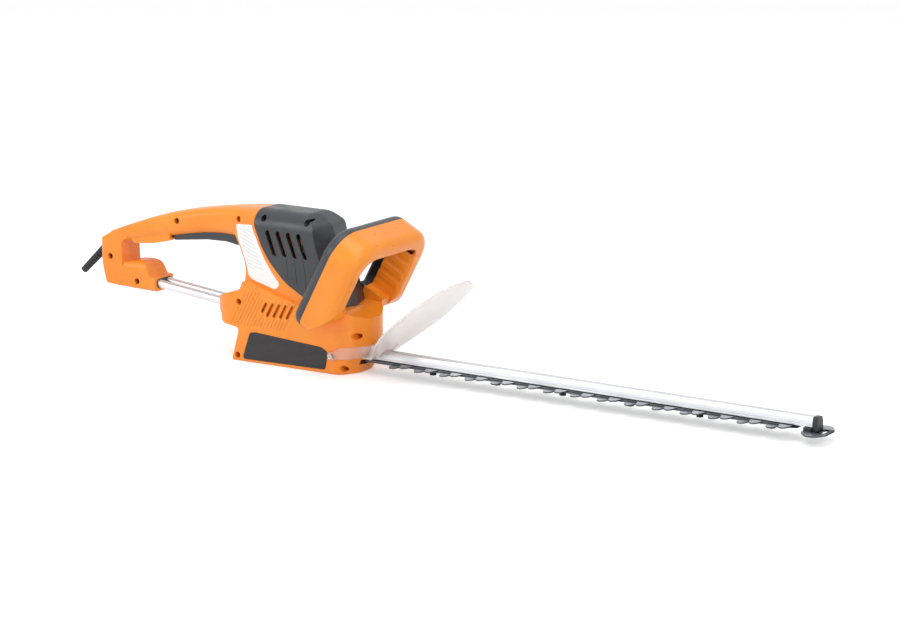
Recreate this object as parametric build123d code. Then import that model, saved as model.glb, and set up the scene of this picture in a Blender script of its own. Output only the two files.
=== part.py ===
from build123d import *
import math
import os

# Electric hedge trimmer. Frame: X forward along the blade, Y to the left, Z up.
# The origin lies on the base plane, under the crank shaft's axis. All sizes in mm.

# ---- casing ----
wall = 2.6                 # moulded wall
body_half = 37.0           # half width of the nose
body_rear_half = 41.0      # half width of the housing's rear
base_rear = -124.0         # rear end of the base
housing_rear = -156.0      # where the housing's plan closes behind the tubes' boss
boss_rear = -149.0         # rear face of the boss that takes the tubes
nose_x = 54.5              # front of the nose
nose_lean = 14.0           # how far the nose's foot stands back from it
nose_lean_z = 30.0         # height below which the nose leans back
nose_flat_half = 12.0      # half width of the flat in front
deck_z = 76.0              # ledge under the motor cover's front
deck_front = 34.5          # where the ledge ends and the nose slopes down
cover_half = 34.0          # half width of the motor cover
cover_top = 182.0
cover_roll_r = 22.0        # rounding of the cover's upper edges
cover_rear = -95.0
cover_front = 29.0
cover_chevron = 13.0       # how far the cover's front falls back at its sides
spine_half = 34.0          # half width of the band behind the cover
arch_half = 17.5           # half width of the rear grip
block_half = 17.5          # half width of the rear block
block_rear = -343.0
block_front = -256.5
screw_r = 1.9
screw_head_r = 3.3
screw_head_h = 2.4
screw_fit = 0.1            # radial clearance round a screw
recess_r = 3.7
screw_boss_r = 5.0
seat_y = 10.0              # depth of the screw heads' seats from the middle plane

base_edge_r = 3.0
vent_count = 4             # slots in the cover
vent_pitch = 14.8
vent_width = 8.4
louvre_sunk = 2.4
vent_slant = 0.55          # forward lean of the slots, as a slope
body_vent_pitch = 9.3
groove_width = 1.3
groove_depth = 0.35

# ---- frame tubes ----
tube_r = 5.0
tube_wall = 1.2
tube_half_pitch = 8.8
tube_rear_x = -276.0
tube_front_x = -118.0
tube_mid_x = -212.6        # a point on the tubes' axes
tube_mid_z = 66.2
tube_drop_deg = 6.0
collar_rim = 1.2           # dark plate beyond the tubes
collar_sunk = 0.4
collar_t = 6.0
tube_fit = 0.05
socket_wall = 2.4

# ---- front handle, measured in its own leaning plane ----
loop_half = 77.0           # outer half width
loop_inner_half = 52.0
loop_top = 181.0
loop_inner_top = 160.0
loop_foot = 53.0
loop_foot_top = 88.0
loop_lean_deg = 28.0
loop_rear = -45.0          # rear face, square to the plane
loop_seam = -31.0
loop_front = 4.0
loop_corner_r = 34.0
loop_foot_r = 14.0         # lower corners of the legs
loop_inner_r = 20.0
loop_edge_r = 12.0         # rounding of the outer rims
loop_inner_edge_r = 6.0    # rounding of the window's rims
scallop_count = 5
scallop_pitch = 13.0
scallop_r = 11.0
scallop_depth = 0.7

# ---- switches ----
bar_travel = 4.0
bar_gap = 0.6              # side gap of the switch bar in the front handle
bar_rear = -39.5           # rear and front faces, square to the handle's plane
bar_front = -32.5
bar_proud = 4.4            # how far the bar stands out of the handle at rest
bar_sunk = 1.6             # how far it reaches into its channel at rest
bar_leg_low = 96.0
bar_leg_t = 4.4
stem_r = 2.6
stem_half_pitch = 30.0
stem_fit = 0.3
trigger_half = 10.0
trigger_gap = 0.8
trigger_pivot_x = -240.0
trigger_pivot_z = 141.0
trigger_front = -133.0
trigger_pin_r = 2.0
trigger_travel_deg = 3.5
pin_fit = 0.05
switch_w = 20.0            # micro switch body
switch_h = 10.0
switch_t = 6.4
switch_x = -205.0          # middle of the rear switch
switch_z = 152.0           # its underside
plunger_r = 1.2
plunger_fit = 0.06
spring_x = -170.0
spring_r = 3.6
spring_wire_r = 0.45
spring_low = 146.8
spring_high = 160.0
channel_wall = 2.2
front_switch_t = 169.0

# ---- cutting gear ----
rail_z = 17.0              # underside of the guide rail
rail_half = 7.0
rail_top_half = 4.6
rail_h = 11.0
rail_room_half = 4.6       # the hollow inside the rail
rail_room_h = 6.0
rail_floor = 3.0
rail_rear = 44.0
rail_front = 617.0
rail_pin_r = 1.5
rail_pin_z = 23.0
cap_t = 6.0                # end cap of the guide rail
cap_half = 7.8
blade_t = 1.6
blade_gap = 0.15           # running gap over, between and under the blades
spine_y = 10.0             # half width of a blade's spine
tooth_tip_y = 22.5
tooth_pitch = 34.5
tooth_count = 15
first_tooth_x = 89.8       # middle of the lower blade's first tooth
tooth_root_w = 16.0
tooth_tip_w = 9.0
tooth_stagger = 14.7
blade_front = 598.8
blade_head_rear = -24.0
blade_head_front = 24.0
blade_head_half = 27.0
bolt_count = 6
first_bolt_x = 133.7
bolt_pitch = 86.4
bolt_r = 2.5
bolt_flange_r = 5.6
bolt_flange_h = 1.4
bolt_head_r = 4.4          # across the corners
bolt_head_h = 4.2
bush_r = 4.0
slide_gap = 0.4            # side gap between a bush and its slot
end_gap = 0.9              # spare length at each end of a slot
tip_plate_t = 2.0
tip_plate_half = 24.5
tip_plate_rear = 606.5
tip_plate_front = 635.0
tip_gap = 0.6              # gap between the tip plate and the lower blade
tip_spacer_rear = 608.0
tip_spacer_half = 10.5
tip_screw_y = 3.2

# ---- drive ----
stroke = 8.0               # throw of each eccentric
yoke_gap = 2.1             # gap fore and aft between an eccentric and its yoke
eccentric_r = 14.0
crank_r = 5.0
gear_module = 1.0
gear_teeth = 54
pinion_teeth = 12
gear_backlash = 0.12
gear_z = 23.0
gear_t = 8.0
plate_t = 3.0
shaft_r = 4.0
bearing_fit = 0.03
bearing_r = 8.0            # outer radius of the ball bearings
press_gap = 0.01           # gap left between pieces that are pressed together
case_r = 32.6              # gearbox casting
case_inner_r = 29.6
case_roof_z = 34.6
lug_r = 5.5
core_r = 18.0              # armature
air_gap = 0.6
core_low = 76.0
core_high = 124.0
fan_r = 29.0
commutator_r = 12.0
stator_half = 27.0
coil_in_r = 19.6
coil_out_r = 23.6

# ---- cord entry ----
cord_r = 3.0               # bore for the cord
sleeve_r = 4.3             # free end of the sleeve
sleeve_root_r = 5.2
sleeve_groove_r = 3.8
sleeve_flange_r = 7.6
sleeve_fit = 0.05
sleeve_length = 42.0       # from the mouth to the free end
sleeve_groove_count = 7
sleeve_groove_pitch = 5.2
sleeve_bend = 7.8          # from the mouth back to the bend
sleeve_root_x = -333.0
clamp_x = -318.0
clamp_z = 80.0

# ---- side panels and hand guard ----
panel_proud = 0.6
panel_t = 2.2
panel_fit = 0.15
guard_screw_x = 18.2
guard_screw_z = 22.4
guard_boss_end = 31.0
shield_deg = 42.0
shield_x = 66.0
shield_z = 24.0
shield_t = 2.0
belt_low = 20.0
belt_high = 34.5
belt_t = 2.0
belt_gap = 0.2

motor_x = -gear_module * (gear_teeth + pinion_teeth) / 2
upper_blade_z = rail_z - blade_gap - blade_t
lower_blade_z = upper_blade_z - blade_gap - blade_t
plate_z = rail_z
tip_z = lower_blade_z - tip_gap - tip_plate_t
tip_top = tip_z + tip_plate_t
tube_mid = Vector(tube_mid_x, 0, tube_mid_z)


# ------------------------------------------------------------------ helpers
def outline(points, radii):
    """A closed flat outline with its corners rounded."""
    return make_face(FilletPolyline(*points, radius=radii, close=True))


def side_slab(points, radii, half):
    """A side outline given as (x, z), reaching equally far to both sides."""
    return extrude(Plane.XZ * outline(points, radii), amount=half, both=True)


def plan_slab(points, radii, low, high):
    """A plan outline given as (x, y), between two heights."""
    return Pos(0, 0, low) * extrude(outline(points, radii), amount=high - low)


def half_space(sign):
    """Everything on one side of the middle plane."""
    return Pos(0, sign * 200, 100) * Box(1600, 400, 600)


def upright(x, y, low, high, radius):
    """A vertical cylinder between two heights."""
    return Pos(x, y, (low + high) / 2) * Cylinder(radius, high - low)


def crosswise(x, z, y0, y1, radius):
    """A cylinder along Y."""
    return Pos(x, (y0 + y1) / 2, z) * Rot(90, 0, 0) * Cylinder(radius, abs(y1 - y0))


def block(x0, x1, y0, y1, z0, z1):
    """A plain box between two corners."""
    centre = Pos((x0 + x1) / 2, (y0 + y1) / 2, (z0 + z1) / 2)
    return centre * Box(abs(x1 - x0), abs(y1 - y0), abs(z1 - z0))


def save(node, shape):
    """Writes one node's solids."""
    solids = shape.solids()
    keep = solids[0] if len(solids) == 1 else Compound(children=list(solids))
    export_step(keep, f"parts/{node}.step")
    print(node, len(solids), round(sum(s.volume for s in solids)))


# ------------------------------------------------------------------ casing outlines
seam_points = [
    (cover_rear, cover_top),
    (cover_rear, 166),
    (-84, 140),
    (-72.5, 122.5),
    (-50, 99.8),
    (-20, 84),
]
seam_radii = [1, 30, 60, 60, 60, 1]

# x, underside, top, half width and corner radius of the grip's sections
grip_stations = [
    (-326.0, 108.0, 130.0, 17.5, 8.0),
    (-298.0, 120.0, 140.2, 17.5, 8.0),
    (-262.0, 127.0, 152.9, 17.5, 10.0),
    (-227.0, 133.5, 162.6, arch_half, 11.0),
    (-183.0, 141.0, 171.4, arch_half, 11.0),
    (-150.0, 143.0, 176.4, 18.5, 12.0),
    (-120.0, 141.0, 179.4, 25.0, 15.0),
    (cover_rear, 138.0, 181.6, spine_half, 20.5),
]


def grip_solid(inset):
    """The arched grip, through upright rounded sections."""
    sections = []
    for x, low, high, half, corner in grip_stations:
        place = Plane(origin=(x, 0, (low + high) / 2), x_dir=(0, 1, 0), z_dir=(1, 0, 0))
        size = (2 * (half - inset), high - low - 2 * inset)
        sections.append(place * RectangleRounded(size[0], size[1], corner - inset))
    return loft(sections)


def block_solid(inset):
    """The rear block between the grip and the tubes."""
    points = [
        (block_rear + inset, 118 - inset),
        (block_rear + 1.5 + inset, 100),
        (block_rear + 11 + inset, 65 + inset),
        (-300, 63 + inset),
        (block_front - inset, 61 + inset),
        (block_front - inset, 78.8 - inset),
        (-265 - inset, 78.8 - inset),
        (-272.5 - inset, 93.5 - inset),
        (-280, 97 - inset),
        (-298, 94.8 - inset),
        (-307 - inset, 90 - inset),
        (-308 - inset, 118),
        (-298, 124),
        (-298, 138.5 - inset),
        (-325, 128 - inset),
    ]
    radii = [5, 30, 4, 20, 2, 2, 3, 6, 9, 9, 5, 6, 1, 1, 50]
    side = side_slab(points, radii, block_half - inset)
    half = block_half - inset
    rear = block_rear + inset
    corners = [(rear, -half), (-200, -half), (-200, half), (rear, half)]
    plan = plan_slab(corners, [9 - inset, 1, 1, 9 - inset], 20, 220)
    section = cross_slab(half, 61 + inset, 97 - inset, 6 - inset, 11 - inset)
    section += block(-400, -307 - inset, -40, 40, 63.5 + inset, 200)
    section += block(-400, -200, -40, 40, 105, 200)
    return side & plan & section


def step_solid(inset):
    """The guard step under the grip, behind the trigger."""
    points = [
        (-290, 118.2 + inset),
        (-262, 120.8 + inset),
        (-235 - inset, 126.8 + inset),
        (-235 - inset, 146),
        (-300, 132),
    ]
    return side_slab(points, [4, 20, 2, 1, 1], arch_half - 2.5 - inset)


def housing_plan(inset):
    """The lower housing's outline seen from above, above the nose's lean."""
    half = body_half - inset
    wide = body_rear_half - inset
    front = nose_x - inset
    shoulder = nose_x - nose_lean - 0.6 * inset
    flat = nose_flat_half - 0.6 * inset
    points = [
        (housing_rear + inset, -wide),
        (-100, -wide),
        (shoulder, -half),
        (front, -flat),
        (front, flat),
        (shoulder, half),
        (-100, wide),
        (housing_rear + inset, wide),
    ]
    return outline(points, [30 - inset, 60, 16, 26, 26, 16, 60, 30 - inset])


def housing_hull(inset, low):
    """All that lies inside the housing's upright walls; the foot leans back."""
    plan = Pos(0, 0, nose_lean_z) * housing_plan(inset)
    drop = nose_lean_z - low
    along = (-nose_lean * drop / nose_lean_z, 0, -drop)
    upper = extrude(plan, amount=100)
    return upper + extrude(plan, amount=Vector(*along).length, dir=along)


def cross_slab(half, low, high, low_r, high_r):
    """A section across the tool, as long as the tool, with rounded corners."""
    points = [(-half, low), (half, low), (half, high), (-half, high)]
    radii = [low_r, low_r, high_r, high_r]
    return extrude(Plane.YZ * outline(points, radii), amount=900, both=True)


def housing_solid():
    """The lower housing, from the base to the ledge under the cover."""
    points = [
        (base_rear, -1),
        (-113, 39.8),
        (-125, 42),
        (-141, 43.6),
        (-142.5, 54),
        (boss_rear, 56.6),
        (boss_rear, 72.5),
        (-136, 78.5),
        (-112, 85),
        (-107, 97),
        (-98, 96.5),
        (-72, 88),
        (-32, 77.5),
        (8, deck_z + 0.8),
        (deck_front, deck_z),
        (nose_x, 66),
        (nose_x + 8, 50),
        (nose_x + 8, -1),
    ]
    radii = [2, 4, 8, 7, 2, 5, 8, 10, 4, 3, 6, 30, 60, 60, 20, 8, 1, 1]
    side = side_slab(points, radii, body_rear_half + 5)
    hull = housing_hull(0, 0)
    foot = [e for e in hull.edges() if e.center().Z < 0.01]
    return side & fillet(foot, base_edge_r)


def housing_cavity():
    """The room inside the lower housing, open upwards under the motor cover."""
    points = [
        (base_rear + 1.4 * wall, 0),
        (-113 + wall, 42),
        (-113 + wall, 60),
        (-105 + wall, 97 - 1.2 * wall),
        (-98, 96.5 - 1.2 * wall),
        (-72, 88 - 1.2 * wall),
        (-32, 77.5 - 1.2 * wall),
        (8, deck_z + 0.8 - wall),
        (deck_front - 1, deck_z - wall - 0.8),
        (nose_x - wall, 66 - 1.2 * wall),
        (nose_x + 8, 50),
        (nose_x + 8, 0),
    ]
    radii = [1, 4, 4, 1, 4, 30, 60, 60, 6, 6, 1, 1]
    side = side_slab(points, radii, body_rear_half + 5)
    return side & housing_hull(wall, wall)


def spine_solid(inset, top=160):
    """The band behind the cover; the grip takes over above the given top."""
    points = [
        (-124 + inset, 70),
        (-112.5 + inset, 96),
        (-110.5 + inset, 109),
        (-114.5 + inset, 121),
        (-122.5 + inset, 134),
        (-134 + inset, 150),
        (-128, 171),
        (cover_rear, 176),
        (cover_rear, 166),
        (-84, 140),
        (-72.5, 122.5),
        (-50, 99.8),
        (-20, 84),
        (-20, 70),
    ]
    radii = [1, 14, 20, 20, 40, 5, 2, 1, 30, 60, 60, 60, 1, 1]
    half = spine_half - inset
    plan = plan_slab(
        [
            (-140, -20 + inset),
            (-128, -22.5 + inset),
            (-104, -31.2 + inset),
            (cover_rear, -half),
            (0, -half),
            (0, half),
            (cover_rear, half),
            (-104, 31.2 - inset),
            (-128, 22.5 - inset),
            (-140, 20 - inset),
        ],
        [1, 20, 30, 10, 1, 1, 10, 30, 20, 1],
        60,
        190,
    )
    slab = side_slab(points, radii, spine_half + 5)
    slab -= block(-200, cover_rear - 0.4, -60, 60, top, 200)
    return slab & plan & cross_slab(half, 20, 181.6 - inset, 1, 20.5 - inset)


def cover_face(y, front_shift, inset):
    """The motor cover's side outline at one distance from the middle."""
    sink = 2.4 * inset
    points = [(seam_points[0][0] - sink, cover_top - inset)]
    points += [(x - sink, z - sink) for x, z in seam_points[1:]]
    points += [
        (6, 73.5 - sink),
        (cover_front - front_shift - inset, deck_z - 2 - sink),
        (19 - front_shift - inset, 107),
        (1 - 0.7 * front_shift - inset, 151 - 0.3 * inset),
        (-7 - 0.35 * front_shift - inset, 169 - 0.6 * inset),
        (-25 - 0.35 * front_shift - inset, cover_top - inset),
    ]
    radii = seam_radii + [4, 2, 60, 40, 9, 12]
    place = Plane(origin=(0, y, 0), x_dir=(1, 0, 0), z_dir=(0, -1, 0))
    return place * outline(points, radii)


def cover_solid(inset):
    """Both halves of the motor cover in one; the front is a blunt chevron."""
    half = cover_half + 1
    right = loft([cover_face(0, 0, inset), cover_face(-half, cover_chevron, inset)], ruled=True)
    section = cross_slab(cover_half - inset, 20, cover_top - inset, 1, cover_roll_r - inset)
    return (right + mirror(right, Plane.XZ)) & section


# ------------------------------------------------------------------ screws and tubes
# each casing screw lies across the tool at (x, z)
body_screws = [(-325.5, 98.5), (-284.9, 71.6), (-221.8, 152.8), (-124.5, 166)]
body_screws += [(-113, 71.5), (-115.5, 7), (46, 47), (31.6, 8)]
cover_screws = [(-82.5, 172.6), (-21, 173)]


def tube_line(side, start, end):
    """Places a cylinder's frame on a tube's axis, given the X of its two ends."""
    lean = math.radians(tube_drop_deg)
    along = Vector(math.cos(lean), 0, -math.sin(lean))
    middle = (start + end) / 2 - tube_mid_x
    centre = tube_mid + along * (middle / math.cos(lean)) + Vector(0, side * tube_half_pitch, 0)
    length = (end - start) / math.cos(lean)
    return Plane(origin=centre, z_dir=along), length


def tube_rod(side, start, end, radius):
    """A round bar on one tube's axis."""
    place, length = tube_line(side, start, end)
    return place * Cylinder(radius, length)


def frame_tube(side):
    """One aluminium tube."""
    outer = tube_rod(side, tube_rear_x, tube_front_x, tube_r)
    return outer - tube_rod(side, tube_rear_x - 5, tube_front_x + 5, tube_r - tube_wall)


def tube_sockets():
    """The moulded sleeves that hold the tubes' ends, before they are bored."""
    rear_end = block_front + 3
    sockets = None
    for side in (-1, 1):
        for start, end in ((tube_rear_x - 3, rear_end), (boss_rear, tube_front_x + 3)):
            sleeve = tube_rod(side, start, end, tube_r + socket_wall)
            sockets = sleeve if sockets is None else sockets + sleeve
    return sockets


def screw_set(places):
    """Screws that run across the casing from the right-hand side."""
    shape = None
    for x, z in places:
        head_y = -seat_y - screw_head_h
        head = crosswise(x, z, head_y, -seat_y, screw_head_r)
        head -= crosswise(x, z, head_y - 1, head_y + 1.2, 1.1)
        one = head + crosswise(x, z, -seat_y - 1, 9.5, screw_r)
        shape = one if shape is None else shape + one
    return shape


def screw_bosses(places):
    """The posts across the tool that its screws pass through or bite into."""
    shape = None
    for x, z in places:
        post = crosswise(x, z, -60, 60, screw_boss_r)
        shape = post if shape is None else shape + post
    return shape


def screw_holes(places, sign):
    """Clearance and head recesses in the right shell, blind holes in the left."""
    shape = None
    for x, z in places:
        if sign < 0:
            hole = crosswise(x, z, 1, -seat_y - 2, screw_r + screw_fit)
            hole += crosswise(x, z, -seat_y, -70, recess_r)
        else:
            hole = crosswise(x, z, -1, 10.5, screw_r + screw_fit)
        shape = hole if shape is None else shape + hole
    return shape


# ------------------------------------------------------------------ cord entry
sleeve_dir = Vector(-0.7338, 0, -0.6794)
sleeve_mouth = Vector(-351, 0, 100.7)
sleeve_elbow = sleeve_mouth - sleeve_dir * sleeve_bend


def on_sleeve(low, high):
    """A frame and a length on the sleeve's axis; distances grow outwards."""
    centre = sleeve_mouth + sleeve_dir * ((low + high) / 2)
    return Plane(origin=centre, x_dir=(0, 1, 0), z_dir=sleeve_dir), high - low


def sleeve_rod(low, high, radius):
    """A cylinder on the sleeve's axis."""
    place, length = on_sleeve(low, high)
    return place * Cylinder(radius, length)


def root_rod(x0, x1, radius):
    """A cylinder along X on the axis of the sleeve's root."""
    return Pos((x0 + x1) / 2, 0, sleeve_elbow.Z) * Rot(0, 90, 0) * Cylinder(radius, abs(x1 - x0))


def sleeve_body(spare):
    """The sleeve's outside, with its flange inside the casing."""
    place, length = on_sleeve(-sleeve_bend, sleeve_length)
    cone = place * Cone(sleeve_root_r + spare, sleeve_r + spare, length)
    elbow = Pos(sleeve_elbow) * Sphere(sleeve_root_r + spare)
    root = root_rod(sleeve_elbow.X, sleeve_root_x + spare, sleeve_root_r + spare)
    flange_x = block_rear + 1 + wall
    flange = root_rod(flange_x - spare, flange_x + 1.6 + spare, sleeve_flange_r + spare)
    return cone + elbow + root + flange


def cord_sleeve():
    """The rubber bend protection, ribbed and hollow."""
    body = sleeve_body(0)
    for i in range(sleeve_groove_count):
        low = 1 + sleeve_groove_pitch * i
        body -= sleeve_rod(low, low + 2.2, 7) - sleeve_rod(low - 1, low + 4, sleeve_groove_r)
    body -= Pos(sleeve_elbow) * Sphere(cord_r)
    body -= root_rod(sleeve_elbow.X, sleeve_root_x + 5, cord_r)
    return body - sleeve_rod(-sleeve_bend, sleeve_length + 5, cord_r)


def clamp_seat():
    """The rib under the cord clamp."""
    return block(clamp_x - 5, clamp_x + 5, -block_half, block_half, 60, clamp_z)


def cord_clamp():
    """The bar that grips the cord inside the rear block."""
    bar = block(clamp_x - 4, clamp_x + 4, -13, 13, clamp_z, clamp_z + 5)
    bar -= Pos(clamp_x, 0, clamp_z) * Rot(0, 90, 0) * Cylinder(cord_r - 0.4, 20)
    for y in (-8.5, 8.5):
        bar -= upright(clamp_x, y, clamp_z - 1, clamp_z + 8, 1.6)
    return bar


def clamp_screws():
    """The two screws of the cord clamp."""
    shape = None
    for y in (-8.5, 8.5):
        one = upright(clamp_x, y, clamp_z + 5, clamp_z + 7, 2.8)
        one -= upright(clamp_x, y, clamp_z + 6, clamp_z + 8, 1.0)
        one += upright(clamp_x, y, clamp_z - 8, clamp_z + 5, 1.5)
        shape = one if shape is None else shape + one
    return shape


# ------------------------------------------------------------------ casing
panel_points = [(-108, 3.6), (-96.8, 36.5), (-88, 37.2), (3, 31), (12.5, 26), (8.3, 5)]
label_points = [
    (-129, 160),
    (-125.6, 143),
    (-117.4, 131),
    (-109.4, 116),
    (-104.5, 102.5),
    (-97.6, 98.9),
    (-64.4, 90.5),
    (-57.5, 97),
    (-69, 110.3),
    (-79, 124),
    (-88.3, 142),
    (-98, 163.6),
]
label_radii = [3, 30, 20, 20, 5, 4, 4, 4, 30, 30, 40, 2]
guard_half = body_half + (body_rear_half - body_half) * (40 - guard_screw_x) / 140
gear_screws = [(-24.5, 26.5), (-24.5, -26.5), (29.2, 21.6), (29.2, -21.6)]


def slot_cut(top, bottom, width):
    """A slanted slot, seen from the side, right through the casing."""
    (xt, zt), (xb, zb) = top, bottom
    points = [
        (xb - width / 2, zb),
        (xb + width / 2, zb),
        (xt + width / 2, zt),
        (xt - width / 2, zt),
    ]
    return side_slab(points, [width * 0.42] * 4, 60)


def line_cut(a, b, width):
    """A round-ended line of some width between two points of a side view."""
    (xa, za), (xb, zb) = a, b
    length = math.hypot(xb - xa, zb - za) + width
    turn = math.degrees(math.atan2(zb - za, xb - xa))
    place = Plane.XZ * Pos((xa + xb) / 2, (za + zb) / 2) * Rot(0, 0, turn)
    return extrude(place * RectangleRounded(length, width, 0.48 * width), amount=60, both=True)


def cover_vents():
    """Four slanted slots in each side of the motor cover."""
    shape = None
    for i in range(vent_count):
        shift = vent_pitch * i
        cut = slot_cut((-75.5 + shift, 160), (-63.5 + shift, 130.5), vent_width)
        shape = cut if shape is None else shape + cut
    return shape


def vent_louvres():
    """A sunk blade that fills the front part of each of the cover's slots."""
    shape = None
    for i in range(vent_count):
        shift = vent_pitch * i
        points = [(-76 + shift, 161.5), (-70 + shift, 161.5), (-57.5 + shift, 129), (-64 + shift, 129)]
        one = side_slab(points, [0.5] * 4, cover_half - louvre_sunk)
        shape = one if shape is None else shape + one
    middle = cover_half - wall - 1.4
    return shape - block(-100, 0, -middle, middle, 100, 200)


def cover_grooves():
    """Shallow lines that run down from the cover's slots."""
    lines = [
        [(-47, 128), (-46, 107), (-31, 98)],
        [(-36, 129), (-32, 97)],
        [(-24.3, 129), (-21, 114), (-19, 93)],
    ]
    shape = None
    for line in lines:
        for a, b in zip(line, line[1:]):
            cut = line_cut(a, b, groove_width)
            shape = cut if shape is None else shape + cut
    middle = cover_half - groove_depth
    return shape - block(-200, 200, -middle, middle, 0, 300)


def housing_vents():
    """Five slots in each side of the lower housing, the first one shorter."""
    shape = None
    for i in range(5):
        top = -73 + body_vent_pitch * i
        low = 62 if i == 0 else 58
        cut = slot_cut((top, 75), (top - vent_slant * (75 - low), low), 4)
        shape = cut if shape is None else shape + cut
    return shape


def housing_grooves():
    """The fine slanted grooves round those slots."""
    shape = None
    for i in range(17):
        top = -104.4 + body_vent_pitch / 2 * i
        high = 85 if i < 5 else 80
        low = 45
        if 6 <= i <= 15 and i % 2 == 1:
            high = 54
        if i == 16 or (6 <= i <= 15 and i % 2 == 0):
            high = 77
        ends = [(top + vent_slant * (z - 80), z) for z in (high, low)]
        cut = line_cut(*ends, groove_width)
        shape = cut if shape is None else shape + cut
    return shape - housing_hull(groove_depth, 0)


def panel_slab(sign, grow, depth):
    """A side panel's plate or pocket, from its outer face inwards."""
    centre = (-45, 18)
    points = []
    for x, z in panel_points:
        away = math.hypot(x - centre[0], z - centre[1])
        factor = 1 + grow / away
        points.append((centre[0] + (x - centre[0]) * factor, centre[1] + (z - centre[1]) * factor))
    slab = side_slab(points, [3, 5, 5, 8, 4, 3], 60)
    skin = housing_hull(-panel_proud, -5) - housing_hull(depth - panel_proud, -6)
    return slab & skin & block(-200, 100, sign * 20, sign * 60, -10, 60)


def side_panel(sign):
    """One dark side panel."""
    return panel_slab(sign, 0, panel_t)


def rating_label(casing):
    """The blank label on the right of the band behind the cover."""
    slab = side_slab(label_points, label_radii, 60) & spine_solid(-0.35, 165)
    return slab & block(-200, 0, -60, -20, 60, 200) - casing


def inner_ribs():
    """Seats for the switch, spring, pin, gearbox and motor, and the vents' baffles."""
    ribs = block(switch_x - 9, switch_x + 9, -30, 30, switch_z + 1.5, switch_z + switch_h - 1.5)
    ribs += block(spring_x - 6, spring_x + 6, -30, 30, spring_high, spring_high + 3)
    ribs += crosswise(trigger_pivot_x, trigger_pivot_z, -30, 30, 4.6)
    ribs += clamp_seat()
    ribs += root_rod(block_rear + 1, sleeve_root_x - 0.5, sleeve_flange_r + 2)
    for side in (-1, 1):
        ribs += block(-12, 12, side * 28.4, side * body_rear_half, 11.5, plate_z)
        ribs += crosswise(guard_screw_x, guard_screw_z, side * body_rear_half, side * guard_boss_end, 4.2)
        ribs += block(-88, -28, side * 33.4, side * 35, 53, 76)
        for x in (-88, -29.6):
            ribs += block(x, x + 1.6, side * 33.4, side * body_rear_half, 53, 76)
        for x in (motor_x - 23, motor_x + 23):
            ribs += block(x - 4, x + 4, side * 24, side * body_rear_half, core_low - 6, core_low)
    return ribs


def inner_cuts():
    """Everything that the seats are hollowed out for."""
    cuts = block(switch_x - 12, switch_x + 12, -switch_t / 2, switch_t / 2, 140, switch_z + switch_h)
    cuts += crosswise(trigger_pivot_x, trigger_pivot_z, -16, 16, trigger_pin_r + press_gap)
    hinge_half = trigger_half + trigger_gap
    cuts += crosswise(trigger_pivot_x, trigger_pivot_z, -hinge_half, hinge_half, 7)
    cuts += block(-233.2, trigger_front + 0.8, -hinge_half, hinge_half, 120, 150)
    cuts += block(-237.5, -233, -hinge_half, hinge_half, 130.2, 148)
    cuts += sleeve_body(sleeve_fit)
    cuts += root_rod(sleeve_root_x - 2, sleeve_root_x + 8, cord_r + 1)
    for y in (-8.5, 8.5):
        cuts += upright(clamp_x, y, clamp_z - 9, clamp_z + 1, 1.5 + screw_fit)
    for side in (-1, 1):
        cuts += tube_rod(side, tube_rear_x, tube_front_x, tube_r + tube_fit)
        hole_end = side * (body_half - 6)
        cuts += crosswise(guard_screw_x, guard_screw_z, hole_end, side * 50, screw_r + screw_fit)
        cuts += panel_slab(side, panel_fit, panel_t)
    cuts += block(20, 80, -rail_half - 0.3, rail_half + 0.3, 11.2, rail_z + rail_h + 0.3)
    cuts += block(20, 80, -17.5, 17.5, 11.2, rail_z)
    cuts += collar_plate(0.1, 10)
    cuts += housing_vents() - block(-200, 100, -35.3, 35.3, 0, 200)
    cuts += housing_grooves()
    return cuts


def body_shell(sign, casing, cavity):
    """One half of the casing: rear block, grip and lower housing."""
    half = half_space(sign)
    shell = (casing & half) - cavity
    fill = (inner_ribs() + tube_sockets() + screw_bosses(body_screws)) & casing & half
    shell += fill
    shell -= inner_cuts()
    return shell - screw_holes(body_screws, sign)


def motor_cover(sign, casing, cavity, cover):
    """One half of the motor cover."""
    half = half_space(sign)
    shell = (cover & half) - cavity
    posts = screw_bosses(cover_screws)
    posts += upright(motor_x, 0, 161.5, 182, bearing_r + 2.6)
    shell += posts & cover & half
    shell -= upright(motor_x, 0, 150, 170.2, bearing_r + press_gap)
    shell -= upright(motor_x, 0, 150, 176, shaft_r + 2)
    shell -= cover_vents()
    shell += vent_louvres() & cover & half
    shell -= cover_grooves()
    shell -= casing
    return shell - screw_holes(cover_screws, sign)


def collar_plate(spare, ahead):
    """The plate that fills the rear block's mouth round the tubes."""
    drop = math.radians(tube_drop_deg)
    along = Vector(math.cos(drop), 0, -math.sin(drop))
    back = (block_front - tube_mid_x) / math.cos(drop)
    place = Plane(origin=tube_mid + along * back, x_dir=(0, 1, 0), z_dir=along)
    width = 2 * (tube_half_pitch + tube_r + collar_rim + spare)
    height = 2 * (tube_r + collar_rim - 0.4 + spare)
    plan = RectangleRounded(width, height, height / 2 - 0.01)
    deep = collar_t + spare
    return place * Pos(0, 0, -deep) * extrude(plan, amount=deep + ahead)


def tube_collar():
    """The dark plate round the tubes where they enter the rear block."""
    plate = collar_plate(0, -collar_sunk)
    for side in (-1, 1):
        plate -= tube_rod(side, tube_rear_x, tube_front_x, tube_r + tube_fit)
    return plate


# ------------------------------------------------------------------ front handle
lean = math.radians(loop_lean_deg)
loop_place = Plane(origin=(0, 0, 0), x_dir=(0, 1, 0), z_dir=(math.cos(lean), 0, -math.sin(lean)))
channel_top = loop_inner_top + bar_sunk + bar_travel + 0.4
front_switch_u = stem_half_pitch


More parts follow.
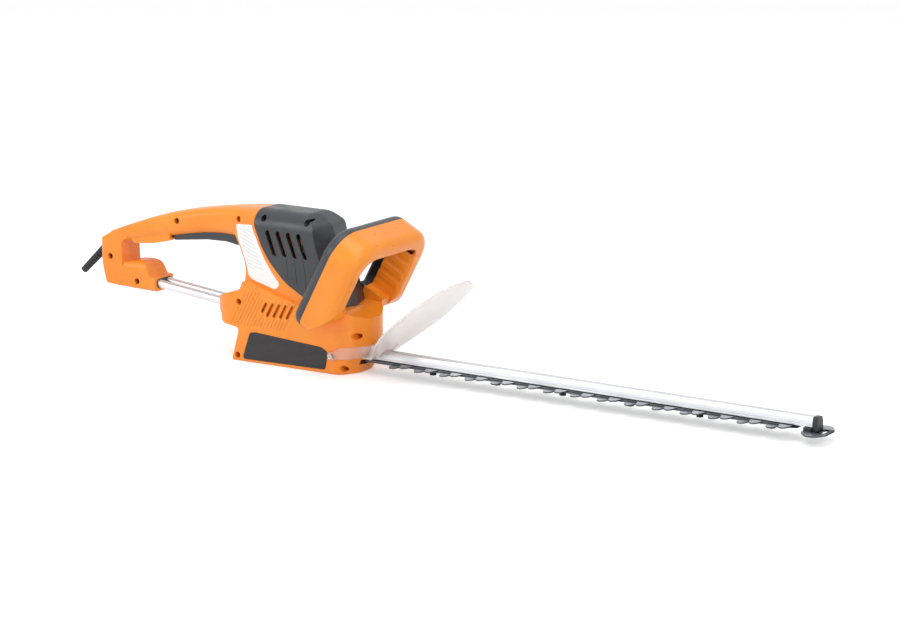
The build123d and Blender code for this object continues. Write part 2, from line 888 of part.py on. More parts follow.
def loop_slab(half, top, corner, low, rear, front, foot=1):
    """A round-cornered plate in the handle's own plane."""
    points = [(-half, low), (half, low), (half, top), (-half, top)]
    return Pos(0, 0, rear) * extrude(outline(points, [foot, foot, corner, corner]), amount=front - rear)


def foot_cut(shift):
    """What is taken off round the front of both feet."""
    dn, dt = -0.854 * shift, 0.52 * shift
    edge = [(40, -38), (57, -19), (74.5, -3), (98, 7)]
    points = [(t + dt, n + dn) for t, n in edge] + [(98 + dt, 40), (20, 40), (20, -38 + dn)]
    return extrude(Plane.YZ * outline(points, [1, 12, 30, 1, 1, 1, 1]), amount=100, both=True)


def handle_ring(inset):
    """The handle's rounded loop without its feet, outer or inner skin."""
    rear, front = loop_rear + inset, loop_front - inset
    corners = (loop_corner_r - inset, loop_foot_r - inset)
    half, top = loop_half - inset, loop_top - inset
    ring = loop_slab(half, top, corners[0], loop_foot + inset, rear, front, corners[1])
    for end in (0, -1):
        face = ring.faces().sort_by(Axis.Z)[end]
        ring = fillet(face.edges(), loop_edge_r - inset)
    inner_half, inner_top = loop_inner_half + inset, loop_inner_top + inset
    ring -= loop_slab(inner_half, inner_top, loop_inner_r + inset, 20, rear - 5, front + 5)
    rims = []
    for n in (rear, front):
        level = [e for e in ring.edges() if abs(e.center().Z - n) < 0.01]
        rims += [e for e in level if abs(e.center().X) < inner_half + 0.2 and e.center().Y < inner_top + 0.2]
    rims = [e for e in rims if e.center().Y > loop_foot + inset + 1]
    return fillet(rims, loop_inner_edge_r - inset)


def handle_outer():
    """The whole handle's outside, with its feet."""
    ring = handle_ring(0)
    for side in (-1, 1):
        inner, outer = side * 36, side * (loop_inner_half + 4)
        ring += block(inner, outer, loop_foot, loop_foot_top, loop_rear + 6, loop_front - 6)
    return ring - foot_cut(0)


def handle_cavity():
    """The hollow of the handle."""
    return handle_ring(wall) - foot_cut(wall)


def channel(spare, low):
    """The room of the switch bar, grown by some spare material."""
    top = channel_top + spare
    half = loop_inner_half + bar_leg_t + bar_gap + spare
    rear, front = bar_rear - bar_gap - spare, bar_front + bar_gap + spare
    return loop_slab(half, top, loop_inner_r + 4, low, rear, front)


handle_screw_spots = [(-66, 150), (66, 150), (-66, 80), (66, 80)]


def along_n(u, t, low, high, radius):
    """A cylinder square to the handle's plane."""
    return Pos(u, t, (low + high) / 2) * Cylinder(radius, high - low)


def along_t(u, n, low, high, radius):
    """A cylinder that rises in the handle's plane."""
    return Pos(u, (low + high) / 2, n) * Rot(90, 0, 0) * Cylinder(radius, high - low)


def handle_shell(front, casing, cover):
    """The front or rear shell of the front handle."""
    shell = handle_outer() - handle_cavity()
    outer = handle_outer()
    posts = channel(channel_wall, bar_leg_low - 4)
    for u, t in handle_screw_spots:
        posts += along_n(u, t, loop_rear, loop_front, 4.6)
    for u in (front_switch_u - 7, front_switch_u + 7):
        posts += block(u - 2, u + 2, channel_top, front_switch_t, -42, -32)
    shell += posts & outer
    shell -= channel(0, bar_leg_low - 0.6)
    for u in (-stem_half_pitch, stem_half_pitch):
        stem_n = (bar_rear + bar_front) / 2
        shell -= along_t(u, stem_n, channel_top - 1, front_switch_t, stem_r + stem_fit)
    for u, t in handle_screw_spots:
        shell -= along_n(u, t, -60, -20, screw_r + screw_fit)
        shell -= along_n(u, t, -60, -39, recess_r)
    for i in range(scallop_count):
        for side in (-1, 1):
            middle = side * (loop_inner_half - scallop_r + scallop_depth)
            t = 98 + scallop_pitch * i
            shell -= along_n(middle, t, loop_seam, loop_front + 5, scallop_r)
    keep = block(-100, 100, 0, 250, loop_seam, 60)
    if not front:
        keep = block(-100, 100, 0, 250, -90, loop_seam)
    return loop_place * (shell & keep) - casing - cover


def handle_screws():
    """The four screws that close the handle from behind."""
    shape = None
    for u, t in handle_screw_spots:
        one = along_n(u, t, -39 - screw_head_h, -39, screw_head_r)
        one -= along_n(u, t, -45, -40.4, 1.1)
        one += along_n(u, t, -39, -21, screw_r)
        shape = one if shape is None else shape + one
    return loop_place * shape


def front_switch_bar():
    """The bar inside the handle that the second hand squeezes."""
    outer_half = loop_inner_half + bar_leg_t
    low = loop_inner_top - bar_proud
    bar = loop_slab(outer_half, loop_inner_top + bar_sunk, loop_inner_r + 3, bar_leg_low, bar_rear, bar_front)
    bar -= loop_slab(loop_inner_half - 0.7, low, loop_inner_r - 2, 20, bar_rear - 5, bar_front + 5)
    stem_n = (bar_rear + bar_front) / 2
    top = front_switch_t - bar_travel - 0.6
    for u in (-stem_half_pitch, stem_half_pitch):
        bar += along_t(u, stem_n, loop_inner_top, top, stem_r)
    return loop_place * bar


def front_switch():
    """The micro switch in the top of the handle."""
    n = (bar_rear + bar_front) / 2
    u, t = front_switch_u, front_switch_t
    body = block(u - switch_w / 2, u + switch_w / 2, t, t + switch_t, n - 3.6, n + 3.6)
    for shift in (-7, 0, 7):
        body += block(u + shift - 0.5, u + shift + 0.5, t + 1, t + 5, n + 3.6, n + 8)
    return loop_place * (body - along_t(u, n, t - 1, t + 5.2, plunger_r + plunger_fit))


def front_plunger():
    """Its plunger, which the bar's stem pushes."""
    n = (bar_rear + bar_front) / 2
    low = front_switch_t - bar_travel - 0.5
    return loop_place * along_t(front_switch_u, n, low, front_switch_t + 1.0, plunger_r)


# ------------------------------------------------------------------ rear trigger
def rear_trigger():
    """The long lever under the grip."""
    points = [
        (-236, 132.4),
        (-232.4, 131.4),
        (-232.4, 127),
        (-182, 133),
        (-153, 133.6),
        (-137, 131),
        (trigger_front, 133.5),
        (trigger_front, 146.8),
        (-150, spring_low - 0.2),
        (-176, spring_low - 0.2),
        (-190, 144),
        (-222, 141),
        (-240, 145),
        (-240, 137),
    ]
    radii = [1, 0.5, 1.5, 40, 40, 3, 1.5, 2, 5, 5, 5, 5, 1, 1]
    lever = side_slab(points, radii, trigger_half)
    low = [e for e in lever.edges() if abs(abs(e.center().Y) - trigger_half) < 0.01]
    low = [e for e in low if e.center().Z < 134.5 and e.length > 10]
    lever = fillet(low, 2)
    lever += crosswise(trigger_pivot_x, trigger_pivot_z, -trigger_half, trigger_half, 5)
    hole = crosswise(trigger_pivot_x, trigger_pivot_z, -20, 20, trigger_pin_r + pin_fit)
    return lever - hole


def trigger_spring():
    """The coil spring over the trigger."""
    height = spring_high - spring_low - 2 * spring_wire_r
    path = Pos(spring_x, 0, spring_low + spring_wire_r) * Helix(height / 5, height, spring_r)
    start = path @ 0
    wire = Plane(origin=start, z_dir=path % 0) * Circle(spring_wire_r)
    return sweep(wire, path=path, is_frenet=True)


def rear_switch():
    """The micro switch inside the grip."""
    low, high = switch_z, switch_z + switch_h
    half = switch_t / 2
    body = block(switch_x - switch_w / 2, switch_x + switch_w / 2, -half, half, low, high)
    for shift in (-1, 3.5, 8):
        body += block(switch_x + shift - 1.2, switch_x + shift + 1.2, -0.4, 0.4, high, high + 2)
    return body - upright(switch_x, 0, low - 1, low + 6, plunger_r + plunger_fit)


def rear_plunger():
    """Its plunger, which the trigger pushes."""
    return upright(switch_x, 0, 143.0, switch_z + 3, plunger_r)


# ------------------------------------------------------------------ hand guard
shield_steps = [(-7, 22), (10, 34), (30, 50), (50, 62), (65, 64.5), (93, 61), (108, 58), (122, 50), (137, 27), (141, 12)]


def hand_guard():
    """The clear guard: a belt round the nose and a tilted shield."""
    belt = housing_hull(-belt_gap - belt_t, 0) - housing_hull(-belt_gap, -1)
    strap = [
        (guard_screw_x, guard_screw_z - 3.5),
        (guard_screw_x + 18, belt_low),
        (100, belt_low),
        (100, belt_high),
        (guard_screw_x + 14, belt_high),
        (guard_screw_x, guard_screw_z + 3.5),
    ]
    belt &= side_slab(strap, [0.5, 12, 1, 1, 12, 0.5], 60)
    belt_out = guard_half + belt_gap + belt_t
    for side in (-1, 1):
        ear_in = side * (guard_half + belt_gap - 0.5)
        belt += crosswise(guard_screw_x, guard_screw_z, ear_in, side * belt_out, 5.6)
    points = [(-half, s) for s, half in shield_steps]
    points += [(half, s) for s, half in reversed(shield_steps)]
    radii = [2, 30, 60, 40, 30, 30, 30, 25, 12, 6]
    tilt = math.radians(shield_deg)
    place = Plane(
        origin=(shield_x, 0, shield_z),
        x_dir=(0, -1, 0),
        z_dir=(-math.sin(tilt), 0, math.cos(tilt)),
    )
    shield = place * extrude(outline(points, radii + radii[::-1]), amount=shield_t)
    guard = belt + shield
    front = nose_x + belt_gap
    guard += block(front - 3, shield_x - 4, -21.5, 21.5, belt_low, belt_low + 2)
    for side in (-1, 1):
        web = [(front - 3, belt_low), (front - 1, belt_high), (79, belt_high), (63, belt_low)]
        rib = extrude(Plane.XZ * make_face(Polyline(*web, close=True)), amount=1, both=True)
        guard += Pos(0, side * 12, 0) * rib
    guard -= block(50, 90, -9.5, 9.5, 10, 31)
    for side in (-1, 1):
        guard -= crosswise(guard_screw_x, guard_screw_z, side * 30, side * 50, screw_r + 0.2)
    return guard - housing_hull(-belt_gap, -1)


def guard_screws():
    """One screw on each side of the guard."""
    shape = None
    outer = guard_half + belt_gap + belt_t + 0.3
    for side in (-1, 1):
        one = crosswise(guard_screw_x, guard_screw_z, side * outer, side * (outer + 1.6), 2.9)
        one -= crosswise(guard_screw_x, guard_screw_z, side * (outer + 0.9), side * (outer + 3), 1.2)
        one += crosswise(guard_screw_x, guard_screw_z, side * (body_half - 5.8), side * outer, screw_r)
        shape = one if shape is None else shape + one
    return shape


# ------------------------------------------------------------------ gearbox
def case_plan(low, high, spare):
    """The gearbox seen from above, with its screw lugs."""
    shape = upright(0, 0, low, high, case_r - spare)
    shape += upright(motor_x, 0, low, high, 15 - spare)
    shape += block(motor_x, 0, spare - 15, 15 - spare, low, high)
    for x, y in gear_screws:
        shape += upright(x, y, low, high, lug_r - spare)
    return shape


def gearbox_plate():
    """The steel plate under the gears, over the blades."""
    plate = case_plan(plate_z, plate_z + plate_t, 0)
    plate -= upright(0, 0, plate_z - 1, plate_z + 8, bearing_r + press_gap)
    for x, y in gear_screws:
        plate -= upright(x, y, plate_z - 1, plate_z + 8, screw_r + screw_fit)
    return plate


def gearbox_housing():
    """The cast cover over the gears, with the rail's root in front."""
    low = plate_z + plate_t
    case = case_plan(low, low + 8, 0) + upright(0, 0, low, case_roof_z, case_r)
    case += upright(motor_x, 0, low, 45, 13)
    case += upright(0, 0, low, 43, 12)
    tongue = rail_room_half - 0.05
    case += block(30, 62, -tongue, tongue, low, low + rail_room_h - 0.05)
    roof = case_roof_z - 3
    case -= upright(0, 0, low - 1, roof, case_inner_r)
    case -= upright(motor_x, 0, low - 1, 35, 9)
    case -= upright(0, 0, low, 42, bearing_r + press_gap)
    case -= upright(0, 0, low, 60, crank_r + 1)
    case -= upright(motor_x, 0, 35, 44, bearing_r + press_gap)
    case -= upright(motor_x, 0, 35, 60, shaft_r + 1)
    for x, y in gear_screws:
        case -= upright(x, y, low - 1, 60, screw_r + screw_fit)
    for x in rail_pin_spots:
        case -= crosswise(x, rail_pin_z, -20, 20, rail_pin_r + press_gap)
    return case


rail_pin_spots = (rail_rear + 4, rail_rear + 9)


def gearbox_screws():
    """Four screws that hold the casting to its plate."""
    shape = None
    top = plate_z + plate_t + 8
    for x, y in gear_screws:
        one = upright(x, y, top, top + 2.6, screw_head_r) - upright(x, y, top + 1.2, top + 3, 1.2)
        one += upright(x, y, plate_z + 0.2, top, screw_r)
        shape = one if shape is None else shape + one
    return shape


def toothed(teeth, low, high, phase):
    """A spur wheel without its bore."""
    pitch_r = gear_module * teeth / 2
    root_r, tip_r = pitch_r - 1.25 * gear_module, pitch_r + 0.95 * gear_module
    half = (math.pi * gear_module / 2 - gear_backlash) / 2
    slope = math.tan(math.radians(20))
    root_a = (half + 1.25 * gear_module * slope) / pitch_r * 0.97
    tip_a = (half - gear_module * slope) / pitch_r
    points = []
    for i in range(teeth):
        a = phase + 2 * math.pi * i / teeth
        for r, turn in ((root_r, -root_a), (tip_r, -tip_a), (tip_r, tip_a), (root_r, root_a)):
            points.append((r * math.cos(a + turn), r * math.sin(a + turn)))
    face = make_face(Polyline(*points, close=True))
    return Pos(0, 0, low) * extrude(face, amount=high - low)


def gear_wheel():
    """The large wheel, lightened by a ring of holes."""
    wheel = toothed(gear_teeth, gear_z, gear_z + gear_t, 0)
    rim_r = gear_module * gear_teeth / 2 - 4.5
    web = upright(0, 0, gear_z + 5.5, gear_z + gear_t + 1, rim_r) - upright(0, 0, gear_z, 40, 9)
    wheel -= web
    for i in range(6):
        a = math.radians(30 + 60 * i)
        ring_r = (rim_r + 9) / 2
        wheel -= upright(ring_r * math.cos(a), ring_r * math.sin(a), gear_z - 1, 40, 4.6)
    return wheel - upright(0, 0, gear_z - 1, 40, crank_r + press_gap)


def crank_shaft():
    """The crank: a spindle with two opposite eccentrics and a foot disc."""
    shaft = upright(0, 0, lower_blade_z - 2.6, 41.5, crank_r)
    shaft += upright(0, stroke, upper_blade_z, upper_blade_z + blade_t, eccentric_r)
    shaft += upright(0, -stroke, lower_blade_z, lower_blade_z + blade_t, eccentric_r)
    return shaft + upright(0, 0, lower_blade_z - 2.6, lower_blade_z - 0.4, 9)


def bearing(x, low, high, bore_r):
    """A ball bearing with sunk shields."""
    ring = upright(x, 0, low, high, bearing_r) - upright(x, 0, low - 1, high + 1, bore_r)
    middle = (bearing_r + bore_r) / 2
    for z in (low, high):
        groove = upright(x, 0, z - 0.4, z + 0.4, middle + 0.7) - upright(x, 0, z - 1, z + 1, middle - 0.7)
        ring -= groove
    return ring


def crank_bearings():
    """The two bearings of the crank."""
    low = bearing(0, plate_z, plate_z + 5.6, crank_r + bearing_fit)
    return low + bearing(0, 35, 42, crank_r + bearing_fit)


# ------------------------------------------------------------------ motor
def wedge(start, end, low, high):
    """A slice of a disc round the motor's axis, by angles in degrees."""
    points = [(0, 0)]
    for i in range(5):
        a = math.radians(start + (end - start) * i / 4)
        points.append((60 * math.cos(a), 60 * math.sin(a)))
    slice_ = extrude(make_face(Polyline(*points, close=True)), amount=high - low)
    return Pos(motor_x, 0, low) * slice_


def ring(low, high, inner, outer):
    """A ring round the motor's axis."""
    return upright(motor_x, 0, low, high, outer) - upright(motor_x, 0, low - 1, high + 1, inner)


def stator_core():
    """The stack of plates round the armature, with two poles."""
    plan = extrude(RectangleRounded(2 * stator_half, 2 * stator_half, 7), amount=core_high - core_low)
    core = Pos(motor_x, 0, core_low) * plan
    core -= upright(motor_x, 0, core_low - 1, core_high + 1, core_r + air_gap)
    for middle in (90, 270):
        room = ring(core_low - 1, core_high + 1, core_r, coil_out_r + 0.3)
        core -= room & wedge(middle - 52, middle + 52, core_low - 2, core_high + 2)
    return core


def field_windings():
    """The two field coils, each round one pole."""
    coils = None
    for middle in (0, 180):
        coil = ring(core_low - 10, core_high + 10, coil_in_r, coil_out_r)
        coil &= wedge(middle - 78, middle + 78, core_low - 10, core_high + 10)
        coil -= wedge(middle - 39, middle + 39, core_low - 0.3, core_high + 0.3)
        coils = coil if coils is None else coils + coil
    return coils


def armature_core():
    """The slotted armature stack."""
    core = ring(core_low, core_high, shaft_r + press_gap, core_r)
    for i in range(12):
        place = Pos(motor_x, 0, (core_low + core_high) / 2) * Rot(0, 0, 30 * i) * Pos(13.5, 0, 0)
        core -= place * Box(10, 2.6, core_high - core_low + 2)
    return core


def armature_windings():
    """The armature's coils: bars in the slots and a bundle at each end."""
    coils = ring(core_low - 10, core_low, shaft_r + 2, 16) + ring(core_high, core_high + 10, shaft_r + 2, 16)
    for i in range(12):
        place = Pos(motor_x, 0, (core_low + core_high) / 2) * Rot(0, 0, 30 * i) * Pos(12.8, 0, 0)
        coils += place * Box(7, 2.4, core_high - core_low + 4)
    return coils


def armature_shaft():
    """The motor shaft with the pinion cut on its lower end."""
    pinion = Pos(motor_x, 0, 0) * toothed(pinion_teeth, gear_z - 1, 33.5, math.pi / pinion_teeth)
    return upright(motor_x, 0, 33, 172, shaft_r) + pinion


def commutator():
    """The copper commutator with its segments."""
    part = ring(138, 156, shaft_r + press_gap, commutator_r)
    for i in range(24):
        place = Pos(motor_x, 0, 148) * Rot(0, 0, 15 * i) * Pos(commutator_r, 0, 0)
        part -= place * Box(1.4, 0.5, 20)
    return part


def cooling_fan():
    """The fan between the gearbox and the windings."""
    fan = ring(50, 62, shaft_r + press_gap, 8.5) + ring(50, 51.8, 8, fan_r)
    for i in range(11):
        place = Pos(motor_x, 0, 56.8) * Rot(0, 0, 360 / 11 * i) * Pos(18, 0, 0)
        fan += place * Box(20, 1.5, 10.4)
    return fan


def motor_bearings():
    """The motor's lower and upper bearings."""
    low = bearing(motor_x, 36.5, 44, shaft_r + bearing_fit)
    return low + bearing(motor_x, 162.5, 170.2, shaft_r + bearing_fit)


def brush_holders():
    """The two brass boxes that guide the brushes, on posts."""
    shape = None
    for side in (-1, 1):
        one = block(motor_x - 5, motor_x + 5, side * 14, side * 29.8, 141.5, 152.5)
        one -= block(motor_x - 3.2, motor_x + 3.2, side * 10, side * 28.6, 142.8, 151.2)
        one += upright(motor_x, side * 25.3, core_high, 142, 1.6)
        shape = one if shape is None else shape + one
    return shape


def carbon_brushes():
    """The two brushes."""
    left = block(motor_x - 3, motor_x + 3, 10, 27, 143, 151)
    pair = left + block(motor_x - 3, motor_x + 3, -27, -10, 143, 151)
    return pair - upright(motor_x, 0, 130, 160, commutator_r + 0.08)


def capacitor():
    """The interference capacitor on the floor of the housing."""
    body = block(-104, -84, -9, 9, wall, 20)
    body = fillet(body.edges().filter_by(Axis.Z), 2)
    for y in (-5, 5):
        body += upright(-94, y, 19, 25, 0.6)
    return body


# ------------------------------------------------------------------ blades and rail
def bolt_spots():
    """Where the blade bolts stand along the rail."""
    return [first_bolt_x + bolt_pitch * i for i in range(bolt_count)]


def blade(low, shift):
    """One blade; its teeth are shifted forward by the given length."""
    head = [
        (blade_head_rear, -blade_head_half),
        (blade_head_front, -blade_head_half),
        (38, -spine_y),
        (blade_front - 10, -spine_y),
        (blade_front, -5),
        (blade_front, 5),
        (blade_front - 10, spine_y),
        (38, spine_y),
        (blade_head_front, blade_head_half),
        (blade_head_rear, blade_head_half),
    ]
    flat = outline(head, [6, 8, 12, 5, 2, 2, 5, 12, 8, 6])
    plate = Pos(0, 0, low) * extrude(flat, amount=blade_t)
    teeth = []
    for i in range(tooth_count):
        x = first_tooth_x + shift + tooth_pitch * i
        for side in (-1, 1):
            tooth = [
                (x - tooth_root_w / 2, side * (spine_y - 2)),
                (x + tooth_root_w / 2, side * (spine_y - 2)),
                (x + tooth_tip_w / 2, side * (tooth_tip_y - 3)),
                (x + tooth_tip_w / 2 - 3, side * tooth_tip_y),
                (x - tooth_tip_w / 2 + 3, side * tooth_tip_y),
                (x - tooth_tip_w / 2, side * (tooth_tip_y - 3)),
            ]
            face = make_face(Polyline(*tooth, close=True))
            teeth.append(Pos(0, 0, low) * extrude(face, amount=blade_t, dir=(0, 0, 1)))
    plate = plate + teeth
    slots = []
    half_long = bush_r + stroke + end_gap
    for x in bolt_spots():
        slots.append(Pos(x, 0, low + blade_t / 2) * slot_solid(half_long, bush_r + slide_gap, 10))
    yoke = extrude(RectangleRounded(2 * (eccentric_r + yoke_gap), 2 * (eccentric_r + stroke + 0.5), 6), amount=20)
    slots.append(Pos(0, 0, low - 5) * yoke)
    return plate - slots


def slot_solid(half_long, radius, height):
    """A slot with round ends along X, centred on the origin."""
    plan = SlotOverall(2 * half_long, 2 * radius)
    return Pos(0, 0, -height / 2) * extrude(plan, amount=height)


def rail_profile(bottom_half, top_half, low, high, corner):
    """The rail's section, narrower at the top."""
    waist = low + 0.62 * (high - low)
    middle = bottom_half - 0.3 * (bottom_half - top_half)
    points = [
        (-bottom_half, low),
        (bottom_half, low),
        (middle, waist),
        (top_half, high),
        (-top_half, high),
        (-middle, waist),
    ]
    return Plane.YZ * outline(points, [0.6, 0.6, 3, corner, corner, 3])


def guide_rail():
    """The aluminium channel over the blades."""
    low, high = rail_z, rail_z + rail_h
    profile = rail_profile(rail_half, rail_top_half, low, high, 1.4)
    rail = Pos(rail_rear, 0, 0) * extrude(profile, amount=rail_front - rail_rear)
    room_low = low + rail_floor
    ends = (rail_rear - 1, rail_front + 1)
    rail -= block(*ends, -rail_room_half, rail_room_half, room_low, room_low + rail_room_h)
    for side in (-1, 1):
        rail -= block(*ends, side * (rail_half - 0.8), side * (rail_half + 1), low + 2.2, low + 3.2)
    rail -= [upright(x, 0, low - 1, room_low + 0.5, bolt_r + 0.05) for x in bolt_spots()]
    for y in (-tip_screw_y, tip_screw_y):
        rail -= upright(tip_spacer_rear + 4.5, y, low - 1, low + 6.5, 1.7)
    for x in rail_pin_spots:
        rail -= crosswise(x, rail_pin_z, -20, 20, rail_pin_r + press_gap)
    return rail


def rail_pins():
    """The two cross pins that hold the rail on the gearbox."""
    half = rail_half - 0.4
    pins = [crosswise(x, rail_pin_z, -half, half, rail_pin_r) for x in rail_pin_spots]
    return pins[0] + pins[1]


def rail_end_cap():
    """The dark cap on the rail's front end."""
    profile = rail_profile(cap_half, 5.2, tip_top, rail_z + rail_h + 0.5, 2)
    cap = Pos(rail_front, 0, 0) * extrude(profile, amount=cap_t)
    cap = fillet(cap.faces().sort_by(Axis.X)[-1].edges(), 0.6)
    inner = rail_room_half - 0.05
    low = rail_z + rail_floor + 0.05
    cap += block(tip_spacer_rear, rail_front + 1, -inner, inner, low, low + rail_room_h - 0.1)
    for x in (tip_spacer_rear + 4.5, rail_front + 3):
        for y in (-tip_screw_y, tip_screw_y):
            cap -= upright(x, y, 0, rail_z + 6.2, 1.7)
    return cap


def blade_bolts():
    """The bolts under the blades: a flange, a hexagon and a shank."""
    shape = None
    top = lower_blade_z - blade_gap
    for x in bolt_spots():
        one = upright(x, 0, top - bolt_flange_h, top, bolt_flange_r)
        head = extrude(RegularPolygon(bolt_head_r, 6), amount=bolt_head_h + 0.5)
        head = chamfer(head.edges().group_by(Axis.Z)[0], 0.5)
        one += Pos(x, 0, top - bolt_flange_h - bolt_head_h) * head
        one += upright(x, 0, top - 0.5, rail_z + rail_floor + 3.4, bolt_r)
        shape = one if shape is None else shape + one
    return shape


def blade_nuts():
    """Their nuts inside the rail."""
    shape = None
    low = rail_z + rail_floor
    for x in bolt_spots():
        nut = Pos(x, 0, low) * extrude(RegularPolygon(rail_room_half + 0.3, 6), amount=2.8)
        nut -= upright(x, 0, low - 1, low + 4, bolt_r + press_gap)
        shape = nut if shape is None else shape + nut
    return shape


def blade_bushes():
    """The sleeves round the bolts that the blades slide along."""
    shape = None
    for x in bolt_spots():
        one = upright(x, 0, lower_blade_z - blade_gap, rail_z, bush_r)
        one -= upright(x, 0, 0, 40, bolt_r + press_gap)
        shape = one if shape is None else shape + one
    return shape


def tip_screw_spots():
    """Where the four tip screws stand."""
    rows = (tip_spacer_rear + 4.5, rail_front + 3)
    return [(x, y) for x in rows for y in (-tip_screw_y, tip_screw_y)]


def tip_plate():
    """The blunt steel plate at the tip, with a hanging slot."""
    rear, front, half = tip_plate_rear, tip_plate_front, tip_plate_half
    points = [
        (rear, -13),
        (rear + 10, -half),
        (front - 9, -half),
        (front, -12),
        (front, 12),
        (front - 9, half),
        (rear + 10, half),
        (rear, 13),
    ]
    plate = Pos(0, 0, tip_z) * extrude(outline(points, [7, 7, 8, 14, 14, 8, 7, 7]), amount=tip_plate_t)
    plate -= Pos(rail_front + 11, 0, tip_z) * Rot(0, 0, 90) * slot_solid(8, 2.8, 20)
    plate -= [upright(x, y, 0, 40, 1.7) for x, y in tip_screw_spots()]
    return plate


def tip_spacer():
    """The block between the tip plate and the rail."""
    part = block(tip_spacer_rear, rail_front, -tip_spacer_half, tip_spacer_half, tip_top, rail_z)
    return part - [upright(x, y, 0, 40, 1.7) for x, y in tip_screw_spots()]


def tip_screws():
    """Four screws up through the tip plate into the rail and its cap."""
    shape = None
    for x, y in tip_screw_spots():
        one = upright(x, y, tip_z - 1.8, tip_z, 2.8)
        one -= upright(x, y, 0, tip_z - 0.8, 1)
        one += upright(x, y, tip_z, rail_z + 6, 1.6)
        shape = one if shape is None else shape + one
    return shape


# ------------------------------------------------------------------ all the nodes
os.makedirs("parts", exist_ok=True)

casing = block_solid(0) + grip_solid(0) + step_solid(0)
casing = casing + housing_solid() + spine_solid(0)
cavity = block_solid(wall) + grip_solid(wall) + step_solid(wall)
cavity = cavity + housing_cavity() + spine_solid(wall) + cover_solid(wall)
cavity += block(motor_x - 27, motor_x + 29, -28, 28, 60, 90)
cover = cover_solid(0)

for side_name, sign in (("right", -1), ("left", 1)):
    save(f"body_shell_{side_name}", body_shell(sign, casing, cavity))
    save(f"motor_cover_{side_name}", motor_cover(sign, casing, cavity, cover))
    save(f"side_panel_{side_name}", side_panel(sign))
    save(f"frame_tube_{side_name}", frame_tube(sign))
save("rating_label", rating_label(casing))
save("tube_collar", tube_collar())
save("body_screws", screw_set(body_screws))
save("cover_screws", screw_set(cover_screws))

save("front_handle_front", handle_shell(True, casing, cover))
save("front_handle_rear", handle_shell(False, casing, cover))
save("handle_screws", handle_screws())
save("front_switch_bar", front_switch_bar())
save("front_switch", front_switch())
save("front_plunger", front_plunger())

save("rear_trigger", rear_trigger())
pin_half = 15.5
save("trigger_pin", crosswise(trigger_pivot_x, trigger_pivot_z, -pin_half, pin_half, trigger_pin_r))
save("trigger_spring", trigger_spring())
save("rear_switch", rear_switch())
save("rear_plunger", rear_plunger())

save("hand_guard", hand_guard())
save("guard_screws", guard_screws())
save("cord_sleeve", cord_sleeve())
save("cord_clamp", cord_clamp())
save("clamp_screws", clamp_screws())

save("gearbox_plate", gearbox_plate())
save("gearbox_housing", gearbox_housing())
save("gearbox_screws", gearbox_screws())
save("gear_wheel", gear_wheel())
save("crank_shaft", crank_shaft())
save("crank_bearings", crank_bearings())

save("stator_core", stator_core())
save("field_windings", field_windings())
save("armature_core", armature_core())
save("armature_windings", armature_windings())
save("armature_shaft", armature_shaft())
save("commutator", commutator())
save("cooling_fan", cooling_fan())
save("motor_bearings", motor_bearings())
save("brush_holders", brush_holders())
save("carbon_brushes", carbon_brushes())
save("capacitor", capacitor())

save("blade_upper", blade(upper_blade_z, tooth_stagger))
save("blade_lower", blade(lower_blade_z, 0))
save("guide_rail", guide_rail())
save("rail_pins", rail_pins())
save("rail_end_cap", rail_end_cap())
save("blade_bolts", blade_bolts())
save("blade_nuts", blade_nuts())
save("blade_bushes", blade_bushes())
save("tip_plate", tip_plate())
save("tip_spacer", tip_spacer())
save("tip_screws", tip_screws())
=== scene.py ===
import math

import bpy
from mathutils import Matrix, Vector

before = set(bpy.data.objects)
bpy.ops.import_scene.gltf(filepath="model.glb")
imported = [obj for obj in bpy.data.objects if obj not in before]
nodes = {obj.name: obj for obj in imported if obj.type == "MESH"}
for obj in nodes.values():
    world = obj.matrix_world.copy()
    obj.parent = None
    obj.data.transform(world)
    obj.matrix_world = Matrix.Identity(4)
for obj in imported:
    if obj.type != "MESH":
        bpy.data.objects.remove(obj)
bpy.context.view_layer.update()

print("frame loaded:", len(nodes), "nodes")


def colour(red, green, blue):
    # sRGB values from 0 to 255 as a shader colour
    out = []
    for value in (red, green, blue):
        part = value / 255
        out.append(part / 12.92 if part <= 0.04045 else ((part + 0.055) / 1.055) ** 2.4)
    return (*out, 1.0)


# ---- studio

studio = {
    "cameraPlace": (1.9110, -2.6994, 0.8100),
    "cameraTilt": 77.24,
    "cameraTurn": 33.02,
    "lens": 116.2,
    "sensor": 36.0,
    "floorSize": 14.0,
    "floorColour": (0.86, 0.86, 0.86, 1.0),
    "floorGlow": 0.36,
    "worldStrength": 0.60,
}

lamps = {
    "overheadSoftbox": {"place": (0.1, -0.5, 2.6), "aim": (0.1, 0.0, 0.1), "size": (2.6, 1.8), "power": 28},
    "leftSoftbox": {"place": (-1.7, -2.3, 1.4), "aim": (0.0, 0.0, 0.12), "size": (1.3, 1.3), "power": 19},
    "frontFill": {"place": (2.3, -1.4, 1.5), "aim": (0.2, 0.0, 0.1), "size": (1.8, 1.2), "power": 18},
}


def addCamera():
    data = bpy.data.cameras.new("studioCamera")
    data.sensor_width = studio["sensor"]
    data.lens = studio["lens"]
    made = bpy.data.objects.new("studioCamera", data)
    bpy.context.scene.collection.objects.link(made)
    made.location = studio["cameraPlace"]
    made.rotation_euler = (math.radians(studio["cameraTilt"]), 0, math.radians(studio["cameraTurn"]))
    bpy.context.scene.camera = made


def addLamps():
    for name, values in lamps.items():
        data = bpy.data.lights.new(name, "AREA")
        data.shape = "RECTANGLE"
        data.size, data.size_y = values["size"]
        data.energy = values["power"]
        made = bpy.data.objects.new(name, data)
        bpy.context.scene.collection.objects.link(made)
        made.location = values["place"]
        aim = Vector(values["aim"]) - Vector(values["place"])
        made.rotation_euler = aim.to_track_quat("-Z", "Y").to_euler()


